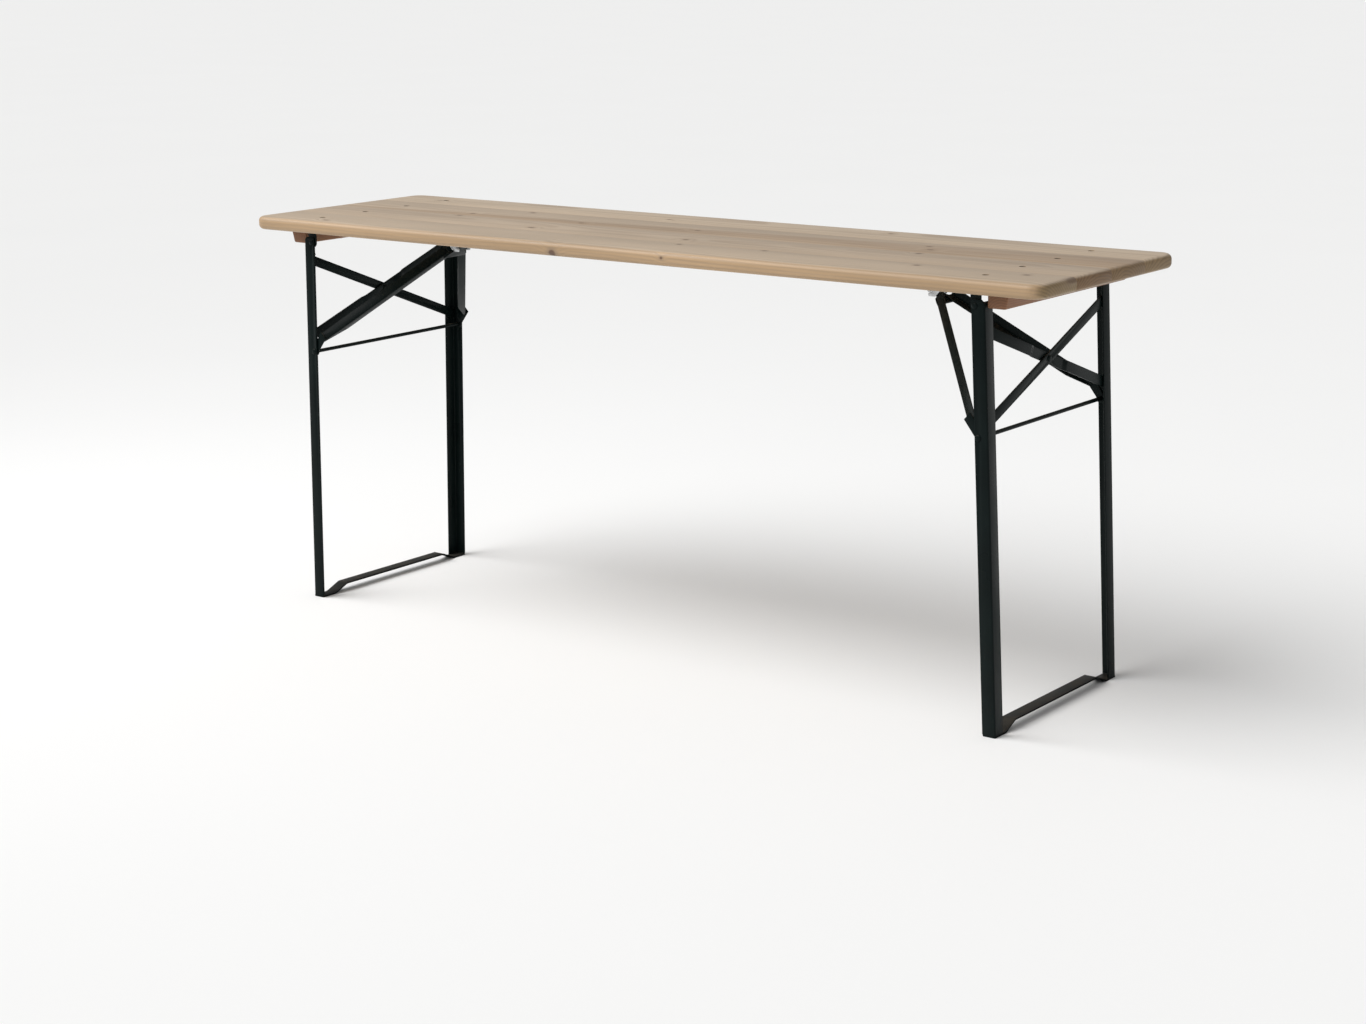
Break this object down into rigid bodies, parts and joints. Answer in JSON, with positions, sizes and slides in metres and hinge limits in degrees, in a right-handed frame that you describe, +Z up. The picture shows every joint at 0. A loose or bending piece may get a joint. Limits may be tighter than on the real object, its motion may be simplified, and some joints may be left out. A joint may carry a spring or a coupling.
{
  "type": "folding trestle table",
  "caption": "Folding trestle table: a narrow plank top on two angle-steel leg frames that fold flat under it, each locked open by a V brace.",
  "frame": {"origin": "on the floor under the middle of the tabletop, with the leg frames open", "axes": "+X along the length of the top, +Y across its width, +Z up"},
  "size_m": [1.77, 0.46, 0.76],
  "materials": {
    "top_wood": "clear-varnished spruce, satin",
    "batten_wood": "clear-varnished pine, satin",
    "painted_steel": "very dark green enamel, semi-gloss",
    "zinc_steel": "zinc-plated steel",
    "dull_steel": "oxidised rivet steel",
    "spring_steel": "tempered spring steel"
  },
  "bodies": {
    "tabletop": {"left_batten": "batten_wood", "left_batten_screw_1": "zinc_steel", "left_batten_screw_2": "zinc_steel", "left_catch_bracket": "zinc_steel", "left_catch_screw_1": "zinc_steel", "left_catch_screw_2": "zinc_steel", "left_catch_spring": "spring_steel", "left_front_hinge_pin": "painted_steel", "left_hinge_rail": "painted_steel", "left_rear_hinge_pin": "painted_steel", "left_spring_screw_1": "zinc_steel", "left_spring_screw_2": "zinc_steel", "left_top_rivet_1": "dull_steel", "left_top_rivet_2": "dull_steel", "left_top_rivet_3": "dull_steel", "left_top_rivet_4": "dull_steel", "right_batten": "batten_wood", "right_batten_screw_1": "zinc_steel", "right_batten_screw_2": "zinc_steel", "right_catch_bracket": "zinc_steel", "right_catch_screw_1": "zinc_steel", "right_catch_screw_2": "zinc_steel", "right_catch_spring": "spring_steel", "right_front_hinge_pin": "painted_steel", "right_hinge_rail": "painted_steel", "right_rear_hinge_pin": "painted_steel", "right_spring_screw_1": "zinc_steel", "right_spring_screw_2": "zinc_steel", "right_top_rivet_1": "dull_steel", "right_top_rivet_2": "dull_steel", "right_top_rivet_3": "dull_steel", "right_top_rivet_4": "dull_steel", "tabletop_board_1": "top_wood", "tabletop_board_2": "top_wood", "tabletop_board_3": "top_wood", "tabletop_board_4": "top_wood"},
    "right_leg_frame": {"right_cross_bar_falling": "painted_steel", "right_cross_bar_rising": "painted_steel", "right_cross_rivet": "painted_steel", "right_cross_rod": "painted_steel", "right_foot_bar": "painted_steel", "right_front_leg": "painted_steel", "right_rear_leg": "painted_steel"},
    "right_brace": {"right_apex_pin": "zinc_steel", "right_brace_gusset": "painted_steel", "right_front_brace_arm": "painted_steel", "right_rear_brace_arm": "painted_steel"},
    "left_leg_frame": {"left_cross_bar_falling": "painted_steel", "left_cross_bar_rising": "painted_steel", "left_cross_rivet": "painted_steel", "left_cross_rod": "painted_steel", "left_foot_bar": "painted_steel", "left_front_leg": "painted_steel", "left_rear_leg": "painted_steel"},
    "left_brace": {"left_apex_pin": "zinc_steel", "left_brace_gusset": "painted_steel", "left_front_brace_arm": "painted_steel", "left_rear_brace_arm": "painted_steel"}
  },
  "joints": [
    {"name": "right_leg_fold", "type": "hinge", "parent": "tabletop", "child": "right_leg_frame", "pos_m": [0.7508, 0, 0.7145], "axis": [0, 1, 0], "range_deg": [0, 92.2], "deforming": ["right_catch_spring"]},
    {"name": "right_brace_fold", "type": "hinge", "parent": "right_leg_frame", "child": "right_brace", "pos_m": [0.7591, 0, 0.5005], "axis": [0, 1, 0], "range_deg": [-137, 0]},
    {"name": "left_leg_fold", "type": "hinge", "parent": "tabletop", "child": "left_leg_frame", "pos_m": [-0.7508, 0, 0.7145], "axis": [0, -1, 0], "range_deg": [0, 92.2], "deforming": ["left_catch_spring"]},
    {"name": "left_brace_fold", "type": "hinge", "parent": "left_leg_frame", "child": "left_brace", "pos_m": [-0.7591, 0, 0.5005], "axis": [0, -1, 0], "range_deg": [-137, 0]}
  ],
  "couplings": [
    {"joint": "right_brace_fold", "follows": "right_leg_fold", "ratio": -1.4735},
    {"joint": "left_brace_fold", "follows": "left_leg_fold", "ratio": -1.4735}
  ]
}
